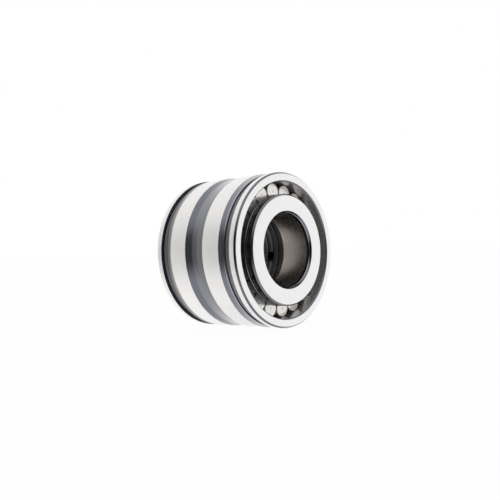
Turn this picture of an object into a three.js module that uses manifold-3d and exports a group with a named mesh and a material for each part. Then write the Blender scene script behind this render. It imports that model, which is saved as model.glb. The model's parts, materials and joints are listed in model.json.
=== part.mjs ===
// Double-row full-complement cylindrical roller bearing.
// Millimetres, +Z up. The bearing axis is Y, the front side faces -Y and the
// origin is the centre of the bearing.
//
// The outer ring is one piece with a rib between the two rows of rollers. The
// inner ring is split at the middle into two halves, each with one rib at its
// outer end, and a thin steel strap in the bore keeps the halves together.
// Nothing spaces the rollers: each row is full.

import * as THREE from 'three';
import { mergeVertices } from 'three/addons/utils/BufferGeometryUtils.js';
import Module from 'manifold-3d';

const wasm = await Module();
wasm.setup();

// Driving dimensions: the boundary sizes
const OUTSIDE_DIAMETER = 42;
const BORE_DIAMETER = 20;
const OUTER_RING_WIDTH = 29;
const INNER_RING_WIDTH = 30;

// Driving dimensions: the rolling elements. A phase is the angle of a row's first
// roller from +X towards +Z.
const ROLLERS_PER_ROW = 20;
const ROLLER_DIAMETER = 4.9;
const ROLLER_LENGTH = 9;
const ROLLER_END_CHAMFER = 0.25;
const PITCH_DIAMETER = 31.91;
const ROW_CENTRE = 6.65;
const FRONT_ROW_PHASE = THREE.MathUtils.degToRad(93.9);
const REAR_ROW_PHASE = THREE.MathUtils.degToRad(102.9);

// Clearances between parts that move against each other
const RACEWAY_CLEARANCE = 0.015;
const RIB_CLEARANCE = 0.05;
const SPLIT_CLEARANCE = 0.01;

// Outer ring details
const OUTER_CHAMFER = 0.45;
const OUTER_MOUTH_CHAMFER = 0.35;
const CENTRE_RIB_RADIUS = 16.5;
const CENTRE_RIB_CHAMFER = 0.15;
const SNAP_GROOVE_DEPTH = 0.9;
const SNAP_GROOVE_FAR = 12.6;
const SNAP_GROOVE_NEAR = 10.8;
const SNAP_GROOVE_EDGE_CHAMFER = 0.2;
const RELIEF_BAND_NEAR = 8.86;
const RELIEF_BAND_DEPTH = 0.1;
const OIL_BAND_HALF_WIDTH = 3.18;
const OIL_BAND_DEPTH = 0.3;
const OIL_BAND_SLOPE = 2.3;

// Inner ring details
const INNER_CHAMFER = 0.45;
const BORE_CHAMFER = 0.5;
const RIB_RADIUS = 15.1;
const RIB_EDGE_CHAMFER = 0.2;
const LIP_SEAT_NEAR = 12.5;
const LIP_SEAT_FAR = 13.3;
const LIP_SEAT_DEPTH = 0.12;
const SPLIT_CHAMFER = 0.2;
const BORE_RECESS_RADIUS = 11;
const BORE_RECESS_HALF_WIDTH = 5.07;
const BORE_RECESS_CHAMFER = 0.3;

// Retaining strap: a U-shaped band whose flanges sit in a groove of each half, with
// two beads that rise inwards
const STRAP_INSIDE_RADIUS = 10.6;
const STRAP_THICKNESS = 0.3;
const STRAP_HALF_WIDTH = 2.6;
const STRAP_FLANGE_RADIUS = 11.5;
const STRAP_BEAD_CENTRE = 0.9;
const STRAP_BEAD_HEIGHT = 0.4;
const STRAP_BEAD_HALF_WIDTH = 0.4;
const STRAP_BEAD_CREST_HALF_WIDTH = 0.12;
const STRAP_GAP = 0.8;
const STRAP_CLEARANCE = 0.05;

// Lubrication holes
const OIL_HOLE_RADIUS = 1.4;
const INNER_OIL_HOLE_ANGLES = [-9.5, 170.5].map(THREE.MathUtils.degToRad);
const OUTER_OIL_HOLE_ANGLE = 0;
const OIL_HOLE_SEGMENTS = 16;

// How many flat facets go round each kind of part
const RING_SEGMENTS = 60;
const ROLLER_SEGMENTS = 16;

const RING_STEEL = { color: 0xdedcda, roughness: 0.32, metalness: 1 };
const INNER_STEEL = { color: 0xd8d8d8, roughness: 0.3, metalness: 1 };
const ROLLER_STEEL = { color: 0xe4e1dd, roughness: 0.18, metalness: 1 };
const STRAP_STEEL = { color: 0x8c8a88, roughness: 0.4, metalness: 1 };

// Radius of the facets' corners for a surface that a round part runs inside:
// the flats then touch the true circle and never reach into it.
function aroundCircle(radius) {
  return radius / Math.cos(Math.PI / RING_SEGMENTS);
}

// A ring about Y from a closed outline of [radius, y] points.
function ring(outline) {
  const points = outline.map(([radius, y]) => new THREE.Vector2(radius, y));
  points.push(points[0].clone());
  return new THREE.LatheGeometry(points, RING_SEGMENTS);
}

function mirrored(outline) {
  return outline.map(([radius, y]) => [radius, -y]).reverse();
}

function toSolid(geometry) {
  const bare = geometry.clone();
  bare.deleteAttribute('normal');
  bare.deleteAttribute('uv');
  const merged = mergeVertices(bare);
  return new wasm.Manifold(new wasm.Mesh({
    numProp: 3,
    vertProperties: new Float32Array(merged.attributes.position.array),
    triVerts: new Uint32Array(merged.index.array),
  }));
}

function toGeometry(solid) {
  const mesh = solid.getMesh();
  const geometry = new THREE.BufferGeometry();
  geometry.setAttribute('position', new THREE.BufferAttribute(mesh.vertProperties, 3));
  geometry.setIndex(new THREE.BufferAttribute(mesh.triVerts, 1));
  geometry.computeVertexNormals();
  return geometry;
}

function cut(geometry, tools) {
  const solid = tools.reduce((body, tool) => body.subtract(toSolid(tool)), toSolid(geometry));
  return toGeometry(solid);
}

// A drill standing on the middle plane, pointing out from the axis at an angle
// that is measured from +X towards +Z.
function radialDrill(angle) {
  const length = OUTSIDE_DIAMETER;
  const drill = new THREE.CylinderGeometry(
    OIL_HOLE_RADIUS, OIL_HOLE_RADIUS, length, OIL_HOLE_SEGMENTS,
  );
  drill.translate(0, length / 2, 0);
  drill.rotateZ(-Math.PI / 2);
  drill.rotateY(-angle);
  return drill;
}

// The part of the outer ring's outline that lies on the front side (y < 0),
// from the raceway's corner at the centre rib round to the oil band.
function outerRingFrontOutline() {
  const face = -OUTER_RING_WIDTH / 2;
  const outside = OUTSIDE_DIAMETER / 2;
  const raceway = aroundCircle(PITCH_DIAMETER / 2 + ROLLER_DIAMETER / 2 + RACEWAY_CLEARANCE);
  const ribFlank = -(ROW_CENTRE - ROLLER_LENGTH / 2 - RIB_CLEARANCE);
  return [
    [CENTRE_RIB_RADIUS, ribFlank + CENTRE_RIB_CHAMFER],
    [CENTRE_RIB_RADIUS + CENTRE_RIB_CHAMFER, ribFlank],
    [raceway, ribFlank],
    [raceway, face + OUTER_MOUTH_CHAMFER],
    [raceway + OUTER_MOUTH_CHAMFER, face],
    [outside - OUTER_CHAMFER, face],
    [outside, face + OUTER_CHAMFER],
    [outside, -SNAP_GROOVE_FAR],
    [outside - SNAP_GROOVE_DEPTH, -SNAP_GROOVE_FAR],
    [outside - SNAP_GROOVE_DEPTH, -SNAP_GROOVE_NEAR],
    [outside - RELIEF_BAND_DEPTH - SNAP_GROOVE_EDGE_CHAMFER, -SNAP_GROOVE_NEAR],
    [outside - RELIEF_BAND_DEPTH, -SNAP_GROOVE_NEAR + SNAP_GROOVE_EDGE_CHAMFER],
    [outside - RELIEF_BAND_DEPTH, -RELIEF_BAND_NEAR],
    [outside, -RELIEF_BAND_NEAR],
    [outside, -OIL_BAND_HALF_WIDTH],
    [outside - OIL_BAND_DEPTH, -OIL_BAND_HALF_WIDTH + OIL_BAND_SLOPE],
  ];
}

function outerRing() {
  const front = outerRingFrontOutline();
  const blank = ring([...front, ...mirrored(front)]);
  return cut(blank, [radialDrill(OUTER_OIL_HOLE_ANGLE)]);
}

// The outline of the front half of the inner ring, from the bore's chamfer
// over the rib and the raceway to the split, and back through the recess.
function innerHalfOutline() {
  const face = -INNER_RING_WIDTH / 2;
  const bore = aroundCircle(BORE_DIAMETER / 2);
  const recess = aroundCircle(BORE_RECESS_RADIUS);
  const raceway = PITCH_DIAMETER / 2 - ROLLER_DIAMETER / 2 - RACEWAY_CLEARANCE;
  const ribFlank = -(ROW_CENTRE + ROLLER_LENGTH / 2 + RIB_CLEARANCE);
  const strapGroove = aroundCircle(STRAP_FLANGE_RADIUS + STRAP_CLEARANCE);
  const grooveFar = -(STRAP_HALF_WIDTH + STRAP_CLEARANCE);
  const grooveNear = -(STRAP_HALF_WIDTH - STRAP_THICKNESS - STRAP_CLEARANCE);
  return [
    [bore, face + BORE_CHAMFER],
    [bore + BORE_CHAMFER, face],
    [RIB_RADIUS - INNER_CHAMFER, face],
    [RIB_RADIUS, face + INNER_CHAMFER],
    [RIB_RADIUS, -LIP_SEAT_FAR],
    [RIB_RADIUS - LIP_SEAT_DEPTH, -LIP_SEAT_FAR],
    [RIB_RADIUS - LIP_SEAT_DEPTH, -LIP_SEAT_NEAR],
    [RIB_RADIUS, -LIP_SEAT_NEAR],
    [RIB_RADIUS, ribFlank - RIB_EDGE_CHAMFER],
    [RIB_RADIUS - RIB_EDGE_CHAMFER, ribFlank],
    [raceway, ribFlank],
    [raceway, -SPLIT_CLEARANCE - SPLIT_CHAMFER],
    [raceway - SPLIT_CHAMFER, -SPLIT_CLEARANCE],
    [recess, -SPLIT_CLEARANCE],
    [recess, grooveNear],
    [strapGroove, grooveNear],
    [strapGroove, grooveFar],
    [recess, grooveFar],
    [recess, -BORE_RECESS_HALF_WIDTH + BORE_RECESS_CHAMFER],
    [bore, -BORE_RECESS_HALF_WIDTH - BORE_RECESS_CHAMFER],
  ];
}

function innerRingHalf(outline) {
  return cut(ring(outline), INNER_OIL_HOLE_ANGLES.map(radialDrill));
}

// The front bead of the strap on its inside or its outside, as [radius, y] points in
// order of y.
function strapBead(radius) {
  const crest = radius - STRAP_BEAD_HEIGHT;
  return [
    [radius, -STRAP_BEAD_CENTRE - STRAP_BEAD_HALF_WIDTH],
    [crest, -STRAP_BEAD_CENTRE - STRAP_BEAD_CREST_HALF_WIDTH],
    [crest, -STRAP_BEAD_CENTRE + STRAP_BEAD_CREST_HALF_WIDTH],
    [radius, -STRAP_BEAD_CENTRE + STRAP_BEAD_HALF_WIDTH],
  ];
}

// The band is rolled from a strip, so its ends meet at a narrow gap, which lies
// on the -X side. It has a hole in front of each oil hole.
function retainingStrap() {
  const flangeNear = STRAP_HALF_WIDTH - STRAP_THICKNESS;
  const webOutside = STRAP_INSIDE_RADIUS + STRAP_THICKNESS;
  const front = [
    ...strapBead(STRAP_INSIDE_RADIUS).reverse(),
    [STRAP_INSIDE_RADIUS, -STRAP_HALF_WIDTH],
    [STRAP_FLANGE_RADIUS, -STRAP_HALF_WIDTH],
    [STRAP_FLANGE_RADIUS, -flangeNear],
    [webOutside, -flangeNear],
    ...strapBead(webOutside),
  ];
  const gap = new THREE.BoxGeometry(OUTSIDE_DIAMETER / 2, OUTER_RING_WIDTH, STRAP_GAP);
  gap.translate(-OUTSIDE_DIAMETER / 4, 0, 0);
  gap.rotateY(THREE.MathUtils.degToRad(45));
  const band = ring([...front, ...mirrored(front)]);
  return cut(band, [gap, ...INNER_OIL_HOLE_ANGLES.map(radialDrill)]);
}

function roller() {
  const radius = ROLLER_DIAMETER / 2;
  const end = ROLLER_LENGTH / 2;
  const outline = [
    [0, -end],
    [radius - ROLLER_END_CHAMFER, -end],
    [radius, -end + ROLLER_END_CHAMFER],
    [radius, end - ROLLER_END_CHAMFER],
    [radius - ROLLER_END_CHAMFER, end],
    [0, end],
  ];
  const points = outline.map(([r, y]) => new THREE.Vector2(r, y));
  return new THREE.LatheGeometry(points, ROLLER_SEGMENTS);
}

function part(name, geometry, finish) {
  const mesh = new THREE.Mesh(geometry, new THREE.MeshStandardMaterial(finish));
  mesh.name = name;
  return mesh;
}

// One full row: the rollers stand evenly round the pitch circle.
function rollerRow(rowName, phase, y) {
  const row = new THREE.Group();
  for (let index = 0; index < ROLLERS_PER_ROW; index += 1) {
    const angle = phase + (index * 2 * Math.PI) / ROLLERS_PER_ROW;
    const number = String(index + 1).padStart(2, '0');
    const mesh = part(`${rowName}_roller_${number}`, roller(), ROLLER_STEEL);
    mesh.position.set(
      (PITCH_DIAMETER / 2) * Math.cos(angle),
      y,
      (PITCH_DIAMETER / 2) * Math.sin(angle),
    );
    row.add(mesh);
  }
  return row;
}

function bearing() {
  const group = new THREE.Group();
  const frontHalf = innerHalfOutline();
  group.add(part('outer_ring', outerRing(), RING_STEEL));
  group.add(part('inner_ring_front', innerRingHalf(frontHalf), INNER_STEEL));
  group.add(part('inner_ring_rear', innerRingHalf(mirrored(frontHalf)), INNER_STEEL));
  group.add(part('retaining_strap', retainingStrap(), STRAP_STEEL));
  group.add(rollerRow('front', FRONT_ROW_PHASE, -ROW_CENTRE));
  group.add(rollerRow('rear', REAR_ROW_PHASE, ROW_CENTRE));
  return group;
}

export default bearing();
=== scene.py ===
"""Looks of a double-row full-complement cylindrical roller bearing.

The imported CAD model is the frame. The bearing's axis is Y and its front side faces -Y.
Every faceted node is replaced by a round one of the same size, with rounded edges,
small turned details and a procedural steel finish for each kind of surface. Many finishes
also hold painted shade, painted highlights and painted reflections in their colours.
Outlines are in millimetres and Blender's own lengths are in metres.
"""

import json
import math
from collections import namedtuple

import bmesh
import bpy
from mathutils import Matrix, Vector


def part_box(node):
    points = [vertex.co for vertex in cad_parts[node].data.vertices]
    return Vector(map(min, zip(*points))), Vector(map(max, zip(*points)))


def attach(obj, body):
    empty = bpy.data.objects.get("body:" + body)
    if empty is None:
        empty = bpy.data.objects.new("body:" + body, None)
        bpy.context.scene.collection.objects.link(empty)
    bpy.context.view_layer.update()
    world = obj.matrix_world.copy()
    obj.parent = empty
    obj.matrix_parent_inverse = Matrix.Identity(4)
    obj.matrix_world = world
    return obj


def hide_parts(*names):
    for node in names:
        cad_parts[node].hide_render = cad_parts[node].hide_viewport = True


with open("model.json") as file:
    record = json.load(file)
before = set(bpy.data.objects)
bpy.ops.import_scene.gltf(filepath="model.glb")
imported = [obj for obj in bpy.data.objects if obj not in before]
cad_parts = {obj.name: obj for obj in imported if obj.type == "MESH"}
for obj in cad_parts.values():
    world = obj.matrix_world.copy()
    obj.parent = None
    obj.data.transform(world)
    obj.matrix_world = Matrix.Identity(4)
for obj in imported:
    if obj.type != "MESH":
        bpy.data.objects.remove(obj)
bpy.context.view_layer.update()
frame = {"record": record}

MM = 0.001

# How finely the round shapes are divided, and the fold from which an edge shades as sharp
RING_SEGMENTS = 240
ROLLER_SEGMENTS = 64
HOLE_SEGMENTS = 40
CORNER_STEPS = 4
SHARP_ANGLE = math.radians(32)

# Camera: in front of the bearing and to its left, level with its axis
CAMERA_AZIMUTH = math.radians(48.8)
CAMERA_ROLL = math.radians(-2.265)
CAMERA_DISTANCE = 187.76 * MM
CAMERA_SHIFT_RIGHT = -0.854 * MM
CAMERA_SHIFT_UP = -0.399 * MM
CAMERA_LENS = 47.66
CAMERA_SENSOR = 36

# The studio's dark gap: which way it lies from +X, how high it is, how dark it is, and
# where it starts and ends, sideways and in height
GAP_AZIMUTH = math.radians(205)
GAP_HEIGHT = 0.065
GAP_DEPTH = 0.96
GAP_SIDE_START = -0.4
GAP_SIDE_END = 0.8
GAP_TOP_START = 0.64
GAP_TOP_END = 0.22

# The floor: half its side, how far it lies under the bearing, and its share of glow
FLOOR_REACH = 30.0
FLOOR_DROP = 0.02 * MM
FLOOR_GLOW = 0.96


# ---------------------------------------------------------------- sizes, mm

def node_size(node):
    """Half width from the middle plane and outside radius of a ring node."""
    low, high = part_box(node)
    half_width = max(abs(low.y), abs(high.y)) / MM
    radius = high.z / MM
    return half_width, radius


OUTER_HALF_WIDTH, OUTER_RADIUS = node_size("outer_ring")
INNER_HALF_WIDTH, RIB_RADIUS = node_size("inner_ring_front")
STRAP_HALF_WIDTH, STRAP_FLANGE_RADIUS = node_size("retaining_strap")

roller_low, roller_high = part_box("front_roller_01")
ROLLER_LENGTH = (roller_high.y - roller_low.y) / MM
ROLLER_RADIUS = (roller_high.z - roller_low.z) / 2 / MM
ROLLER_FAR = -roller_low.y / MM
ROLLER_NEAR = -roller_high.y / MM
roller_middle = (roller_low + roller_high) / 2
PITCH_RADIUS = math.hypot(roller_middle.x, roller_middle.z) / MM

RACEWAY_CLEARANCE = 0.015
RIB_CLEARANCE = 0.05
OUTER_RACEWAY = PITCH_RADIUS + ROLLER_RADIUS + RACEWAY_CLEARANCE
INNER_RACEWAY = PITCH_RADIUS - ROLLER_RADIUS - RACEWAY_CLEARANCE

# Outer ring
CENTRE_RIB_RADIUS = 16.5
SNAP_GROOVE_FAR = 12.6
SNAP_GROOVE_NEAR = 10.8
SNAP_GROOVE_DEPTH = 0.9
NEAR_EDGE_RADIUS = 0.35
RELIEF_NEAR = 8.86
RELIEF_DEPTH = 0.1
OIL_BAND_HALF_WIDTH = 3.18
OIL_BAND_DEPTH = 0.3
OIL_BAND_SLOPE = 2.3
OUTER_CHAMFER = 0.45
MOUTH_CHAMFER = 0.35

# Inner ring
BORE_RADIUS = 10
BORE_CHAMFER = 0.5
LEAD_IN_WIDTH = 0.9
FACE_CHAMFER = 0.45
LIP_SEAT_FAR = 13.3
LIP_SEAT_NEAR = 12.5
LIP_SEAT_DEPTH = 0.12
RECESS_RADIUS = 11
RECESS_HALF_WIDTH = 5.07
RECESS_CHAMFER = 0.3
SPLIT_GAP = 0.01

# Retaining strap
STRAP_THICKNESS = 0.3
STRAP_RADIUS = 10.6
STRAP_CLEARANCE = 0.03
BEAD_CENTRE = 0.9
BEAD_HEIGHT = 0.4
BEAD_HALF_WIDTH = 0.4
BEAD_CREST_HALF_WIDTH = 0.12
STRAP_SLIT = 0.8
STRAP_SLIT_ANGLE = math.radians(45)

# Lubrication holes
OIL_HOLE_RADIUS = 1.4
RING_HOLE_FLARE = 0.15
STRAP_HOLE_FLARE = 0.1
INNER_OIL_HOLES = (math.radians(-9.5), math.radians(170.5))
OUTER_OIL_HOLE = 0.0

# Roller
ROLLER_EDGE_RADIUS = 0.34
ROLLER_EDGE_STEPS = 6
ROLLER_END_DISH = 0.04
ROLLER_CENTRE_RADIUS = 0.3
ROLLER_CENTRE_DEPTH = 0.1


# ------------------------------------------------------------ node helpers

class Nodes:
    """Short calls for the shader nodes that the finishes and the world use."""

    def __init__(self, tree):
        self.tree = tree

    def add(self, kind):
        return self.tree.nodes.new(kind)

    def plug(self, value, socket):
        if isinstance(value, bpy.types.NodeSocket):
            self.tree.links.new(value, socket)
        else:
            socket.default_value = value

    def math(self, operation, a, b=0.0):
        node = self.add("ShaderNodeMath")
        node.operation = operation
        self.plug(a, node.inputs[0])
        self.plug(b, node.inputs[1])
        return node.outputs[0]

    def length(self, a, b):
        squares = self.math("ADD", self.math("MULTIPLY", a, a), self.math("MULTIPLY", b, b))
        return self.math("SQRT", squares)

    def split(self, vector):
        node = self.add("ShaderNodeSeparateXYZ")
        self.plug(vector, node.inputs[0])
        return node.outputs

    def join(self, x, y, z):
        node = self.add("ShaderNodeCombineXYZ")
        for value, socket in zip((x, y, z), node.inputs):
            self.plug(value, socket)
        return node.outputs[0]

    def spread(self, value, start, end, low=0.0, high=1.0, smooth=False):
        """Value from start to end becomes low to high, and stops there."""
        node = self.add("ShaderNodeMapRange")
        node.interpolation_type = "SMOOTHSTEP" if smooth else "LINEAR"
        self.plug(value, node.inputs["Value"])
        numbers = {"From Min": start, "From Max": end, "To Min": low, "To Max": high}
        for key, number in numbers.items():
            self.plug(number, node.inputs[key])
        return node.outputs["Result"]

    def noise(self, vector, scale, detail=4.0, roughness=0.55):
        node = self.add("ShaderNodeTexNoise")
        self.plug(vector, node.inputs["Vector"])
        node.inputs["Scale"].default_value = scale
        node.inputs["Detail"].default_value = detail
        node.inputs["Roughness"].default_value = roughness
        return node.outputs["Fac"]

    def ramp(self, value, stops):
        """Colour of a value between 0 and 1, from (place, colour) stops."""
        node = self.add("ShaderNodeValToRGB")
        self.plug(value, node.inputs[0])
        elements = node.color_ramp.elements
        while len(elements) < len(stops):
            elements.new(0.5)
        for element, (place, colour) in zip(elements, stops):
            element.position = place
            element.color = (*colour, 1)
        return node.outputs[0]

    def plain(self, colour):
        node = self.add("ShaderNodeRGB")
        node.outputs[0].default_value = (*colour, 1)
        return node.outputs[0]

    def scaled(self, vector, factor):
        node = self.add("ShaderNodeVectorMath")
        node.operation = "SCALE"
        self.plug(vector, node.inputs[0])
        self.plug(factor, node.inputs["Scale"])
        return node.outputs[0]

    def lifted(self, colour, gain):
        """The colour with the gain added to its red, green and blue."""
        node = self.add("ShaderNodeVectorMath")
        self.plug(colour, node.inputs[0])
        self.plug(self.join(gain, gain, gain), node.inputs[1])
        return node.outputs[0]


class Steel(Nodes):
    """A steel finish under construction, on an object whose axis of turning is Y."""

    def __init__(self, name):
        self.material = bpy.data.materials.new(name)
        self.material.use_nodes = True
        super().__init__(self.material.node_tree)
        self.principled = self.tree.nodes["Principled BSDF"]
        self.position = self.add("ShaderNodeTexCoord").outputs["Object"]
        self.x, self.y, self.z = self.split(self.position)

    def tool_marks(self, across, along=90.0):
        """Noise drawn out round the axis, as turning and grinding leave it."""
        outward = self.math("MULTIPLY", self.length(self.x, self.z), across)
        first = self.math("ADD", outward, self.math("MULTIPLY", self.x, along))
        second = self.math("ADD", self.math("MULTIPLY", self.y, across),
                           self.math("MULTIPLY", self.z, along))
        third = self.math("MULTIPLY", self.math("SUBTRACT", self.x, self.z), along)
        return self.noise(self.join(first, second, third), 1.0, 5.0, 0.6)

    def grazing(self):
        """0 where the surface faces the viewer, rising steeply to 1 where it turns away."""
        node = self.add("ShaderNodeLayerWeight")
        node.inputs["Blend"].default_value = 0.5
        return self.math("POWER", node.outputs["Facing"], 3.0)

    def bump(self, height, depth):
        node = self.add("ShaderNodeBump")
        node.inputs["Distance"].default_value = depth
        self.plug(height, node.inputs["Height"])
        self.plug(node.outputs[0], self.principled.inputs["Normal"])

    def finish(self, colour, roughness, metallic):
        self.plug(colour, self.principled.inputs["Base Color"])
        self.plug(roughness, self.principled.inputs["Roughness"])
        self.plug(metallic, self.principled.inputs["Metallic"])
        return self.material


def steel(name, colour, roughness, marks=0.05, speckle=0.02, grain=5200.0, depth=2e-6,
          across=9000.0, sheen=0.0, metallic=1.0, ramp=None):
    """Steel with drawn-out tool marks, a fine speckle and slow smudges.

    marks and speckle are how much they change the brightness, depth is the height of the
    marks in metres, and grain and across are how many specks and marks go in a metre.
    sheen is a painted sheen, brightness added to the colour at grazing angles, and metallic
    is less than 1 where grinding left it matt.
    ramp, if given, makes the colour from the finish's nodes.
    """
    nodes = Steel(name)
    lines = nodes.tool_marks(across)
    grains = nodes.noise(nodes.position, grain, 2.0)
    smudges = nodes.noise(nodes.position, 260.0, 3.0)
    tint = nodes.math("ADD", nodes.spread(lines, 0.3, 0.7, -marks, marks),
                      nodes.spread(grains, 0.3, 0.7, -speckle, speckle))
    tint = nodes.math("ADD", tint, nodes.spread(smudges, 0.3, 0.7, -0.02, 0.02))
    base = ramp(nodes) if ramp else nodes.plain(colour)
    shaded = nodes.scaled(base, nodes.math("ADD", 1.0, tint))
    # Painted sheen: the colour is lifted where the surface turns away from the viewer
    if sheen:
        shaded = nodes.lifted(shaded, nodes.math("MULTIPLY", nodes.grazing(), sheen))
    rough = nodes.math("ADD", nodes.spread(lines, 0.3, 0.7, roughness * 0.85, roughness * 1.15),
                       nodes.spread(smudges, 0.3, 0.7, -0.03, 0.03))
    nodes.bump(lines, depth)
    return nodes.finish(shaded, rough, metallic)


# --------------------------------------------------------------- materials

def ground_land():
    return steel("ground_land", (0.83, 0.815, 0.80), 0.45, marks=0.03, speckle=0.05,
                 grain=3200.0, sheen=0.15, metallic=0.55)


def side_face():
    return steel("side_face", (0.885, 0.885, 0.89), 0.34, marks=0.02, speckle=0.015)


# Painted reflection: the dark blue-grey colour stands for the dark studio mirrored in the chamfer,
# and its sheen is painted
def dark_chamfer():
    return steel("dark_chamfer", (0.16, 0.165, 0.19), 0.22, sheen=0.3)


# Painted reflection: the dark blue-grey colour stands for the dark studio mirrored in this chamfer
def mouth_chamfer():
    return steel("mouth_chamfer", (0.17, 0.175, 0.205), 0.3, metallic=0.9)


# Painted reflection: the dark colour stands for the dark studio mirrored in the face chamfer, and
# its sheen is painted
def face_chamfer():
    return steel("face_chamfer", (0.19, 0.19, 0.205), 0.25, sheen=0.3)


def bore_chamfer():
    """Painted reflection: dark all round, darker level with the axis, and nearly black at the top
    and bottom of the bore.
    """
    def colours(nodes):
        height = nodes.math("ABSOLUTE", nodes.z)
        place = nodes.spread(height, 0, BORE_RADIUS * MM)
        return nodes.ramp(place, ((0.0, (0.09, 0.09, 0.11)), (0.5, (0.16, 0.165, 0.19)),
                                  (0.8, (0.16, 0.165, 0.19)), (0.96, (0.015, 0.015, 0.018))))
    return steel("bore_chamfer", None, 0.2, ramp=colours)


# Painted highlight: a thin bright line on the rounding between the bore's lead-in and its chamfer
def bore_edge():
    return steel("bore_edge", (0.46, 0.47, 0.50), 0.2)


def oil_band():
    """Blue-grey band, its darkness partly a painted reflection of the dark studio. The rear slope
    is painted darker and bluer, and the rest has a painted sheen at grazing angles.
    """
    def colours(nodes):
        half_width = OIL_BAND_HALF_WIDTH * MM
        place = nodes.spread(nodes.y, half_width, -half_width)
        # The ramp paints the band's colour as a dark reflection of the studio, darkest and bluest
        # on the rear slope
        scale = nodes.ramp(place, ((0.33, (0.172, 0.18, 0.207)), (0.40, (0.225, 0.23, 0.25)),
                                   (0.62, (0.215, 0.22, 0.235)), (0.72, (0.185, 0.188, 0.20))))
        # Painted sheen at grazing angles, none on the rear slope
        sheen = nodes.spread(place, 0.3, 0.5, 0.0, 0.3)
        return nodes.lifted(scale, nodes.math("MULTIPLY", nodes.grazing(), sheen))
    return steel("oil_band", None, 0.2, marks=0.06, ramp=colours)


# Painted reflection: the dark blue-grey colour stands for the dark studio mirrored in the band,
# and its sheen is painted
def relief_band():
    return steel("relief_band", (0.185, 0.192, 0.222), 0.2, marks=0.06, sheen=0.5)


def rear_relief_band():
    """The same band on the rear side, paler and warmer beside the ground land, with painted shade
    darkening it to nearly black at the groove.
    """
    def colours(nodes):
        place = nodes.spread(nodes.y, RELIEF_NEAR * MM, SNAP_GROOVE_NEAR * MM)
        return nodes.ramp(place, ((0, (0.42, 0.40, 0.375)), (0.35, (0.30, 0.285, 0.27)),
                                  (0.62, (0.225, 0.215, 0.21)), (0.76, (0.13, 0.125, 0.125)),
                                  (0.86, (0.045, 0.044, 0.048)), (1, (0.05, 0.049, 0.055))))
    return steel("rear_relief_band", None, 0.32, ramp=colours)


# Painted shade: the groove's far flank is painted dark navy
def groove_far_flank():
    return steel("groove_far_flank", (0.11, 0.125, 0.165), 0.35)


# Painted highlight: a lighter colour and painted sheen make a light line along the groove's
# rounded near edge
def groove_near_edge():
    return steel("groove_near_edge", (0.36, 0.365, 0.39), 0.25, sheen=0.6)


def groove_floor():
    return steel("groove_floor", (0.31, 0.315, 0.33), 0.5, marks=0.25, across=5000.0,
                 metallic=0.8)


# Painted shade: nearly black, on the snap ring groove's deep corner and its flank
def groove_corner():
    return steel("groove_corner", (0.012, 0.016, 0.028), 0.5)


def outer_raceway():
    return steel("outer_raceway", (0.50, 0.48, 0.465), 0.27, marks=0.03, speckle=0.01,
                 metallic=0.75)


def centre_rib():
    return steel("centre_rib", (0.30, 0.29, 0.28), 0.3)


def rib_outside():
    """Painted shade: nearly black between the rollers and the lip seat, dark blue beyond it."""
    def colours(nodes):
        place = nodes.math("ABSOLUTE", nodes.y)
        blend = nodes.spread(place, LIP_SEAT_NEAR * MM, LIP_SEAT_FAR * MM)
        return nodes.ramp(blend, ((0, (0.042, 0.040, 0.040)), (1, (0.058, 0.062, 0.085))))
    return steel("rib_outside", None, 0.34, ramp=colours)


# Painted highlight: the lip seat's bevel and edge are painted lighter than the rib around them
def rib_lip():
    return steel("rib_lip", (0.30, 0.30, 0.31), 0.3)


def rib_flank():
    return steel("rib_flank", (0.30, 0.29, 0.28), 0.25)


def inner_raceway():
    return steel("inner_raceway", (0.40, 0.39, 0.375), 0.18, marks=0.03, speckle=0.01)


def bore_land():
    return steel("bore_land", (0.53, 0.492, 0.46), 0.28, marks=0.025, speckle=0.01, depth=1e-7,
                 across=4000.0)


# Painted reflection: a dark navy strip just inside the bore's mouth
def bore_lead_in():
    return steel("bore_lead_in", (0.13, 0.135, 0.16), 0.26)


# Painted shade: the recess in the bore is painted nearly black
def bore_recess():
    return steel("bore_recess", (0.040, 0.040, 0.043), 0.35, metallic=0.85)


# Painted shade: the strap sits deep in the bore's recess and is painted nearly black
def strap_sheet():
    return steel("strap_sheet", (0.058, 0.057, 0.055), 0.33, marks=0.12, metallic=0.8)


# Painted highlight: the strap's edges, bead crests and hole rims are painted lighter where they
# catch the light
def strap_edge():
    return steel("strap_edge", (0.22, 0.215, 0.21), 0.35, metallic=0.6)


# Painted shade: the inside of the lubrication holes is painted nearly black
def hole_wall():
    return steel("hole_wall", (0.02, 0.02, 0.02), 0.5)


def roller_end():
    return steel("roller_end", (0.80, 0.78, 0.75), 0.2, marks=0.07, across=7000.0,
                 metallic=0.93)


def roller_side():
    return steel("roller_side", (0.66, 0.65, 0.64), 0.14, marks=0.02, speckle=0.01,
                 metallic=0.9)


# ------------------------------------------------------------------ shapes

# A corner of an outline. finish is that of the stretch that follows the corner, and
# edge that of the corner's own rounding, which is shared by its neighbours if not given.
Corner = namedtuple("Corner", "radius y rounding finish edge", defaults=(None,))


def rounded(outline):
    """(point, finish) pairs of a closed outline with each corner turned into a small curve."""
    points = []
    count = len(outline)
    for index, corner in enumerate(outline):
        here = Vector((corner.radius, corner.y))
        if not corner.rounding:
            points.append((here, corner.finish))
            continue
        before = outline[index - 1]
        after = outline[(index + 1) % count]
        start = here + (Vector(before[:2]) - here).normalized() * corner.rounding
        end = here + (Vector(after[:2]) - here).normalized() * corner.rounding
        for step in range(CORNER_STEPS + 1):
            t = step / CORNER_STEPS
            place = start * (1 - t) ** 2 + here * 2 * t * (1 - t) + end * t ** 2
            shared = before.finish if t < 0.5 else corner.finish
            points.append((place, corner.finish if t == 1 else corner.edge or shared))
    return points


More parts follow.
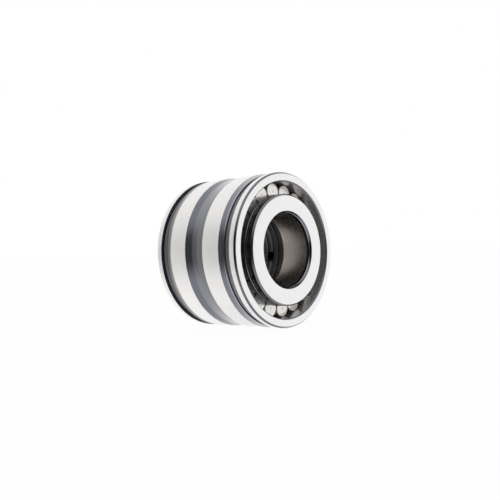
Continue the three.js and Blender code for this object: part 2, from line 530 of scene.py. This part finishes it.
def mirrored(outline):
    """The outline mirrored in the middle plane, with each stretch keeping its finish."""
    return [corner._replace(y=-corner.y, finish=outline[index - 1].finish)
            for index, corner in reversed(list(enumerate(outline)))]


def revolve(name, points, segments, centre=Vector(), closed=True):
    """A body of revolution about Y from (point, finish) pairs, with one slot per finish."""
    work = bmesh.new()
    turns = [2 * math.pi * k / segments for k in range(segments)]
    rows = []
    for place, _ in points:
        if place.x == 0:
            rows.append([work.verts.new((0, place.y * MM, 0))])
        else:
            rows.append([work.verts.new(Vector((place.x * math.cos(turn), place.y,
                                                place.x * math.sin(turn))) * MM)
                         for turn in turns])
    finishes = sorted({finish for _, finish in points})
    last = len(points) if closed else len(points) - 1
    for index in range(last):
        this = rows[index]
        following = rows[(index + 1) % len(points)]
        for k in range(segments):
            nearby = (k + 1) % segments
            if len(this) == 1:
                corners = (this[0], following[nearby], following[k])
            elif len(following) == 1:
                corners = (this[k], this[nearby], following[0])
            else:
                corners = (this[k], this[nearby], following[nearby], following[k])
            face = work.faces.new(corners)
            face.material_index = finishes.index(points[index][1])
            face.smooth = True
    bmesh.ops.recalc_face_normals(work, faces=work.faces)
    mesh = bpy.data.meshes.new(name)
    work.to_mesh(mesh)
    work.free()
    mesh.set_sharp_from_angle(angle=SHARP_ANGLE)
    for finish in finishes:
        mesh.materials.append(FINISHES_AND_PAINTED_LIGHT[finish])
    return add_object(name, mesh, centre)


def add_object(name, data, location=Vector()):
    piece = bpy.data.objects.new(name, data)
    piece.location = location
    bpy.context.scene.collection.objects.link(piece)
    return piece


def subtract(piece, tool):
    """Cuts the tool out of the piece for good, and removes the tool."""
    modifier = piece.modifiers.new("cut", "BOOLEAN")
    modifier.operation = "DIFFERENCE"
    modifier.solver = "EXACT"
    modifier.material_mode = "TRANSFER"
    modifier.object = tool
    bpy.context.view_layer.update()
    graph = bpy.context.evaluated_depsgraph_get()
    mesh = bpy.data.meshes.new_from_object(piece.evaluated_get(graph))
    piece.modifiers.clear()
    old = piece.data
    name = old.name
    piece.data = mesh
    bpy.data.meshes.remove(old)
    bpy.data.objects.remove(tool)
    mesh.name = name
    mesh.set_sharp_from_angle(angle=SHARP_ANGLE)


def drill(piece, angle, inside, outside, flare, finish="hole_wall"):
    """Cuts a round radial hole at the middle plane, flared where it meets the surfaces."""
    beyond = 1.0
    wide = OIL_HOLE_RADIUS + flare + beyond
    outline = [(0, inside - beyond), (wide, inside - beyond), (OIL_HOLE_RADIUS, inside + flare),
               (OIL_HOLE_RADIUS, outside - flare), (wide, outside + beyond), (0, outside + beyond)]
    points = [(Vector(point), finish) for point in outline]
    tool = revolve("drill", points, HOLE_SEGMENTS, closed=False)
    tool.matrix_world = Matrix.Rotation(-angle, 4, "Y") @ Matrix.Rotation(-math.pi / 2, 4, "Z")
    subtract(piece, tool)


def slit(piece, angle, width, finish):
    """Cuts a straight slit through one side of a ring, away from the axis at the angle."""
    work = bmesh.new()
    bmesh.ops.create_cube(work, size=1.0)
    size = Vector((OUTER_RADIUS, OUTER_HALF_WIDTH, width)) * MM
    bmesh.ops.scale(work, vec=size, verts=work.verts)
    bmesh.ops.translate(work, vec=(size.x / 2, 0, 0), verts=work.verts)
    mesh = bpy.data.meshes.new("slit")
    work.to_mesh(mesh)
    work.free()
    mesh.materials.append(FINISHES_AND_PAINTED_LIGHT[finish])
    tool = add_object("slit", mesh)
    tool.matrix_world = Matrix.Rotation(-angle, 4, "Y")
    subtract(piece, tool)


def put(piece, body, node):
    """Lets the piece ride on a body and stand for a node."""
    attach(piece, body)
    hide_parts(node)


# ------------------------------------------------------------------ pieces

def oil_band_half():
    """Corners of the shallow hollow round the middle of the outer ring, front half."""
    return [
        Corner(OUTER_RADIUS, -OIL_BAND_HALF_WIDTH, 0.05, "oil_band"),
        Corner(OUTER_RADIUS - OIL_BAND_DEPTH, -OIL_BAND_HALF_WIDTH + OIL_BAND_SLOPE, 0.25,
               "oil_band"),
    ]


def outer_ring_outline():
    face = -OUTER_HALF_WIDTH
    flank = -(ROLLER_NEAR - RIB_CLEARANCE)
    outside = OUTER_RADIUS
    floor_radius = outside - SNAP_GROOVE_DEPTH
    relief = outside - RELIEF_DEPTH
    front = [
        Corner(CENTRE_RIB_RADIUS, flank, 0.12, "centre_rib"),
        Corner(OUTER_RACEWAY, flank, 0, "outer_raceway"),
        Corner(OUTER_RACEWAY, face + MOUTH_CHAMFER, 0.05, "mouth_chamfer"),
        Corner(OUTER_RACEWAY + MOUTH_CHAMFER, face, 0.05, "side_face"),
        Corner(outside - OUTER_CHAMFER, face, 0.05, "dark_chamfer"),
        Corner(outside, face + OUTER_CHAMFER, 0.05, "ground_land"),
        Corner(outside, -SNAP_GROOVE_FAR, 0.05, "groove_far_flank"),
        Corner(floor_radius, -SNAP_GROOVE_FAR, 0.2, "groove_floor", "groove_corner"),
        Corner(floor_radius, -SNAP_GROOVE_NEAR, 0.25, "groove_corner", "groove_floor"),
        Corner(relief, -SNAP_GROOVE_NEAR, NEAR_EDGE_RADIUS, "relief_band", "groove_near_edge"),
        Corner(relief, -RELIEF_NEAR - RELIEF_DEPTH, 0.04, "relief_band"),
        Corner(outside, -RELIEF_NEAR, 0.04, "ground_land"),
        *oil_band_half(),
    ]
    rear_names = {"relief_band": "rear_relief_band", "groove_near_edge": "rear_relief_band"}
    rear = [corner._replace(finish=rear_names.get(corner.finish, corner.finish),
                            edge=rear_names.get(corner.edge, corner.edge))
            for corner in mirrored(front)]
    rear[-1] = rear[-1]._replace(finish="centre_rib")
    return [*front, Corner(outside - OIL_BAND_DEPTH, 0, 0, "oil_band"), *rear]


def outer_ring():
    ring = revolve("outer_ring_steel", rounded(outer_ring_outline()), RING_SEGMENTS)
    drill(ring, OUTER_OIL_HOLE, CENTRE_RIB_RADIUS, OUTER_RADIUS - OIL_BAND_DEPTH,
          RING_HOLE_FLARE)
    put(ring, "outer_ring", "outer_ring")


def inner_half_outline():
    face = -INNER_HALF_WIDTH
    flank = -(ROLLER_FAR + RIB_CLEARANCE)
    lip = RIB_RADIUS - LIP_SEAT_DEPTH
    groove_far = -(STRAP_HALF_WIDTH + STRAP_CLEARANCE)
    groove_near = -(STRAP_HALF_WIDTH - STRAP_THICKNESS - STRAP_CLEARANCE)
    groove_radius = STRAP_FLANGE_RADIUS + STRAP_CLEARANCE
    return [
        Corner(BORE_RADIUS, face + BORE_CHAMFER + LEAD_IN_WIDTH, 0, "bore_lead_in"),
        Corner(BORE_RADIUS, face + BORE_CHAMFER, 0.14, "bore_chamfer", "bore_edge"),
        Corner(BORE_RADIUS + BORE_CHAMFER, face, 0.04, "side_face", "bore_chamfer"),
        Corner(RIB_RADIUS - FACE_CHAMFER, face, 0.05, "face_chamfer"),
        Corner(RIB_RADIUS, face + FACE_CHAMFER, 0.05, "rib_outside"),
        Corner(RIB_RADIUS, -LIP_SEAT_FAR, 0.06, "rib_outside", "rib_lip"),
        Corner(lip, -LIP_SEAT_FAR + LIP_SEAT_DEPTH, 0.03, "rib_outside"),
        Corner(lip, -LIP_SEAT_NEAR - LIP_SEAT_DEPTH, 0.03, "rib_lip"),
        Corner(RIB_RADIUS, -LIP_SEAT_NEAR, 0.03, "rib_outside"),
        Corner(RIB_RADIUS, flank, 0.15, "rib_flank"),
        Corner(INNER_RACEWAY, flank, 0, "inner_raceway"),
        Corner(INNER_RACEWAY, -SPLIT_GAP, 0.15, "inner_raceway"),
        Corner(RECESS_RADIUS, -SPLIT_GAP, 0, "bore_recess"),
        Corner(RECESS_RADIUS, groove_near, 0, "bore_recess"),
        Corner(groove_radius, groove_near, 0, "bore_recess"),
        Corner(groove_radius, groove_far, 0, "bore_recess"),
        Corner(RECESS_RADIUS, groove_far, 0.04, "bore_recess"),
        Corner(RECESS_RADIUS, -RECESS_HALF_WIDTH + RECESS_CHAMFER, 0.12, "bore_recess"),
        Corner(BORE_RADIUS, -RECESS_HALF_WIDTH - RECESS_CHAMFER, 0.1, "bore_land"),
    ]


def inner_ring_half(side, outline):
    half = revolve(f"inner_ring_{side}_steel", rounded(outline), RING_SEGMENTS)
    for angle in INNER_OIL_HOLES:
        drill(half, angle, RECESS_RADIUS, INNER_RACEWAY, RING_HOLE_FLARE)
    put(half, "inner_ring", f"inner_ring_{side}")


def bead_half(radius, side):
    """Corners of one stiffening bead of the strap, rising inwards from a cylinder."""
    crest = radius - BEAD_HEIGHT
    # The crest's rounding carries the painted highlight of the strap's edges
    shape = ((-BEAD_HALF_WIDTH, radius, "strap_sheet"),
             (-BEAD_CREST_HALF_WIDTH, crest, "strap_edge"),
             (BEAD_CREST_HALF_WIDTH, crest, "strap_edge"),
             (BEAD_HALF_WIDTH, radius, "strap_sheet"))
    return [Corner(reach, -BEAD_CENTRE + side * across, 0.1, "strap_sheet", edge)
            for across, reach, edge in shape]


def retaining_strap():
    """A band rolled from strip, with two beads and two flanges, its ends meeting at a slit."""
    web = STRAP_RADIUS + STRAP_THICKNESS
    near = STRAP_HALF_WIDTH - STRAP_THICKNESS
    inside = [
        Corner(STRAP_RADIUS, -STRAP_HALF_WIDTH, 0.15, "strap_sheet", "strap_edge"),
        *bead_half(STRAP_RADIUS, 1),
    ]
    outside = [
        *bead_half(web, -1),
        Corner(web, -near, 0.1, "strap_sheet"),
        Corner(STRAP_FLANGE_RADIUS, -near, 0.1, "strap_sheet"),
        Corner(STRAP_FLANGE_RADIUS, -STRAP_HALF_WIDTH, 0.1, "strap_edge"),
    ]
    outline = [*inside, *mirrored(inside), *mirrored(outside), *outside]
    strap = revolve("retaining_strap_sheet", rounded(outline), RING_SEGMENTS)
    for angle in INNER_OIL_HOLES:
        drill(strap, angle, STRAP_RADIUS, web, STRAP_HOLE_FLARE, "strap_edge")
    slit(strap, math.pi + STRAP_SLIT_ANGLE, STRAP_SLIT, "strap_sheet")
    put(strap, "inner_ring", "retaining_strap")


def roller_outline():
    """Slightly dished end faces with a small centre mark, and well rounded edges."""
    end = -ROLLER_LENGTH / 2
    flat = ROLLER_RADIUS - ROLLER_EDGE_RADIUS
    half = [
        (Vector((0, end + ROLLER_CENTRE_DEPTH)), "roller_end"),
        (Vector((ROLLER_CENTRE_RADIUS * 0.7, end + ROLLER_CENTRE_DEPTH)), "roller_end"),
        (Vector((ROLLER_CENTRE_RADIUS, end + ROLLER_END_DISH)), "roller_end"),
        (Vector((flat * 0.6, end + ROLLER_END_DISH / 2)), "roller_end"),
    ]
    for step in range(ROLLER_EDGE_STEPS + 1):
        angle = math.pi / 2 * step / ROLLER_EDGE_STEPS
        point = Vector((flat + ROLLER_EDGE_RADIUS * math.sin(angle),
                        end + ROLLER_EDGE_RADIUS * (1 - math.cos(angle))))
        finish = "roller_end" if 2 * step < ROLLER_EDGE_STEPS else "roller_side"
        half.append((point, finish))
    other = [(Vector((point.x, -point.y)), half[index - 1][1])
             for index, (point, _) in reversed(list(enumerate(half)))]
    return half + other


def rollers():
    """All the rollers share one mesh, and each rides on the body that holds its node."""
    shape = None
    for body, nodes in frame["record"]["behaviour"]["bodies"].items():
        for node in nodes:
            if "_roller_" not in node:
                continue
            low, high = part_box(node)
            centre = (low + high) / 2
            if shape is None:
                roller = revolve(f"{node}_steel", roller_outline(), ROLLER_SEGMENTS, centre, False)
                shape = roller.data
            else:
                roller = add_object(f"{node}_steel", shape, centre)
            put(roller, body, node)


# ------------------------------------------------------------------- stage

def pale_floor():
    """Glows almost as white as the room, with a little shadow under the bearing."""
    material = bpy.data.materials.new("pale_floor")
    material.use_nodes = True
    tree = material.node_tree
    tree.nodes.clear()
    diffuse = tree.nodes.new("ShaderNodeBsdfDiffuse")
    diffuse.inputs["Color"].default_value = (0.9, 0.9, 0.9, 1)
    glow = tree.nodes.new("ShaderNodeEmission")
    blend = tree.nodes.new("ShaderNodeMixShader")
    blend.inputs[0].default_value = FLOOR_GLOW
    output = tree.nodes.new("ShaderNodeOutputMaterial")
    tree.links.new(diffuse.outputs[0], blend.inputs[1])
    tree.links.new(glow.outputs[0], blend.inputs[2])
    tree.links.new(blend.outputs[0], output.inputs[0])
    return material


def floor():
    """A plain pale floor that the bearing stands on. Steel mirrors the room instead of it."""
    level = -OUTER_RADIUS * MM - FLOOR_DROP
    corners = [(x * FLOOR_REACH, y * FLOOR_REACH, level)
               for x, y in ((-1, -1), (1, -1), (1, 1), (-1, 1))]
    mesh = bpy.data.meshes.new("floor")
    mesh.from_pydata(corners, [], [(0, 1, 2, 3)])
    mesh.materials.append(pale_floor())
    piece = add_object("floor", mesh)
    piece.visible_glossy = False


def studio_world():
    """An even white room. Only to steel it has a soft dark gap at eye level on the left."""
    world = bpy.data.worlds.new("studio")
    bpy.context.scene.world = world
    world.use_nodes = True
    nodes = Nodes(world.node_tree)
    direction = nodes.add("ShaderNodeTexCoord").outputs["Generated"]
    x, y, z = nodes.split(direction)
    level = nodes.math("MAXIMUM", nodes.length(x, y), 0.001)
    toward = nodes.math("ADD", nodes.math("MULTIPLY", x, math.cos(GAP_AZIMUTH)),
                        nodes.math("MULTIPLY", y, math.sin(GAP_AZIMUTH)))
    aside = nodes.spread(nodes.math("DIVIDE", toward, level), GAP_SIDE_START, GAP_SIDE_END,
                         smooth=True)
    height = nodes.math("ABSOLUTE", nodes.math("SUBTRACT", z, GAP_HEIGHT))
    eye_level = nodes.spread(height, GAP_TOP_START, GAP_TOP_END, smooth=True)
    gap = nodes.math("MULTIPLY", aside, eye_level)
    mirrored_ray = nodes.add("ShaderNodeLightPath").outputs["Is Glossy Ray"]
    darkness = nodes.math("MULTIPLY", nodes.math("MULTIPLY", gap, GAP_DEPTH), mirrored_ray)
    background = world.node_tree.nodes["Background"]
    # Without importance sampling of the room the steel renders with less grain
    world.cycles.sampling_method = "NONE"
    background.inputs["Color"].default_value = (1, 1, 1, 1)
    nodes.plug(nodes.math("SUBTRACT", 1.0, darkness), background.inputs["Strength"])


def camera():
    """Looks at the bearing from the front left, level with its axis and slightly rolled."""
    data = bpy.data.cameras.new("camera")
    data.lens = CAMERA_LENS
    data.sensor_width = CAMERA_SENSOR
    data.clip_start = 0.005
    data.clip_end = 200
    back = Vector((-math.sin(CAMERA_AZIMUTH), -math.cos(CAMERA_AZIMUTH), 0))
    up = Vector((0, 0, 1))
    level_right = up.cross(back)
    right = math.cos(CAMERA_ROLL) * level_right + math.sin(CAMERA_ROLL) * up
    top = -math.sin(CAMERA_ROLL) * level_right + math.cos(CAMERA_ROLL) * up
    spot = back * CAMERA_DISTANCE - right * CAMERA_SHIFT_RIGHT - top * CAMERA_SHIFT_UP
    piece = add_object("camera", data)
    piece.matrix_world = Matrix((
        (right.x, top.x, back.x, spot.x),
        (right.y, top.y, back.y, spot.y),
        (right.z, top.z, back.z, spot.z),
        (0, 0, 0, 1)))
    bpy.context.scene.camera = piece


# Steel finishes, many of them with painted shade, highlights or reflections in their colours
FINISHES_AND_PAINTED_LIGHT = {make.__name__: make() for make in (
    ground_land, side_face, dark_chamfer, mouth_chamfer, face_chamfer, bore_chamfer, bore_edge,
    oil_band, relief_band, rear_relief_band, groove_far_flank, groove_near_edge, groove_floor,
    groove_corner, outer_raceway, centre_rib, rib_outside, rib_lip, rib_flank, inner_raceway,
    bore_land, bore_lead_in, bore_recess, strap_sheet, strap_edge, hole_wall, roller_end,
    roller_side)}

outer_ring()
inner_ring_half("front", inner_half_outline())
inner_ring_half("rear", mirrored(inner_half_outline()))
retaining_strap()
rollers()
floor()
studio_world()
camera()

bpy.context.scene.view_settings.view_transform = "Standard"
